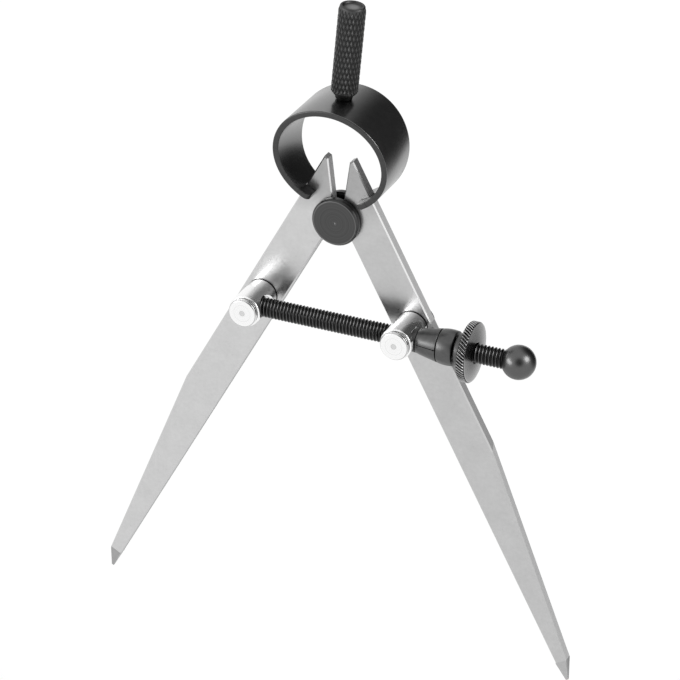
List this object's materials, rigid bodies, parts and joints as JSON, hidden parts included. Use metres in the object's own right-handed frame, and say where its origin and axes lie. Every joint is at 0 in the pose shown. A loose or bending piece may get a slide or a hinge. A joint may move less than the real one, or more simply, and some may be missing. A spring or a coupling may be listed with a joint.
{
  "type": "spring divider",
  "caption": "Spring divider with flat steel legs, a black bow spring, a knurled grip and an adjusting screw with a quick-release nut.",
  "frame": {"origin": "under the middle of the box round the divider, level with the rear rim of the bow spring, with the divider lying on its back", "axes": "+Y runs along the grip's end of the divider and -Y to the leg points, +X is the side of the ball end of the adjusting screw, +Z is the front, where the posts and the screw stand"},
  "size_m": [0.1462, 0.1942, 0.0279],
  "materials": {
    "ground_steel": "fine ground steel, satin, cleaned up by belt along the leg",
    "bright_steel": "turned and polished bright steel",
    "black_oxide": "satin black oxide on steel",
    "dark_steel": "dark grey blued steel"
  },
  "bodies": {
    "bow": {"bow_spring": "black_oxide", "grip": "black_oxide", "grip_stud": "black_oxide"},
    "fulcrum": {"fulcrum_stud": "dark_steel", "fulcrum_roller": "dark_steel", "fulcrum_back_disc": "dark_steel"},
    "left_leg": {"left_leg": "ground_steel"},
    "right_leg": {"right_leg": "ground_steel"},
    "left_swivel": {"left_post": "bright_steel", "left_post_washer": "bright_steel", "adjusting_screw": "black_oxide", "ball_knob": "black_oxide"},
    "right_swivel": {"right_post": "bright_steel", "right_post_washer": "bright_steel", "seat_washer": "black_oxide"},
    "nut": {"jaw_ring": "black_oxide", "nut_collar": "black_oxide", "thumb_wheel": "black_oxide"},
    "jaw_upper": {"nut_jaw_upper": "black_oxide"},
    "jaw_lower": {"nut_jaw_lower": "black_oxide"}
  },
  "joints": [
    {"name": "fulcrum_spin", "type": "hinge", "parent": "bow", "child": "fulcrum", "pos_m": [0, 0.03425, 0.01065], "axis": [0, 0, 1], "continuous": true},
    {"name": "left_leg_open", "type": "hinge", "parent": "bow", "child": "left_leg", "pos_m": [0, 0.03425, 0.01065], "axis": [0, 0, -1], "range_deg": [-28.3, 8], "deforming": ["bow_spring"]},
    {"name": "right_leg_open", "type": "hinge", "parent": "bow", "child": "right_leg", "pos_m": [0, 0.03425, 0.01065], "axis": [0, 0, 1], "range_deg": [-28.3, 8], "deforming": ["bow_spring"]},
    {"name": "left_post_swivel", "type": "hinge", "parent": "left_leg", "child": "left_swivel", "pos_m": [-0.02277, 0.00645, 0.01065], "axis": [0, 0, 1], "range_deg": [-28.3, 8]},
    {"name": "right_post_swivel", "type": "hinge", "parent": "right_leg", "child": "right_swivel", "pos_m": [0.02277, 0.00645, 0.01065], "axis": [0, 0, -1], "range_deg": [-28.3, 8]},
    {"name": "nut_spin", "type": "hinge", "parent": "right_swivel", "child": "nut", "pos_m": [0.02767, 0.00645, 0.01915], "axis": [1, 0, 0], "continuous": true},
    {"name": "jaw_upper_open", "type": "slide", "parent": "nut", "child": "jaw_upper", "axis": [0, 0.9925, -0.1219], "range_m": [0, 0.00025]},
    {"name": "jaw_lower_open", "type": "slide", "parent": "nut", "child": "jaw_lower", "axis": [0, -0.9925, 0.1219], "range_m": [0, 0.00025]}
  ],
  "couplings": [
    {"joint": "right_leg_open", "follows": "left_leg_open", "ratio": 1},
    {"joint": "left_post_swivel", "follows": "left_leg_open", "ratio": 1},
    {"joint": "right_post_swivel", "follows": "left_leg_open", "ratio": 1},
    {"joint": "jaw_lower_open", "follows": "jaw_upper_open", "ratio": 1}
  ]
}
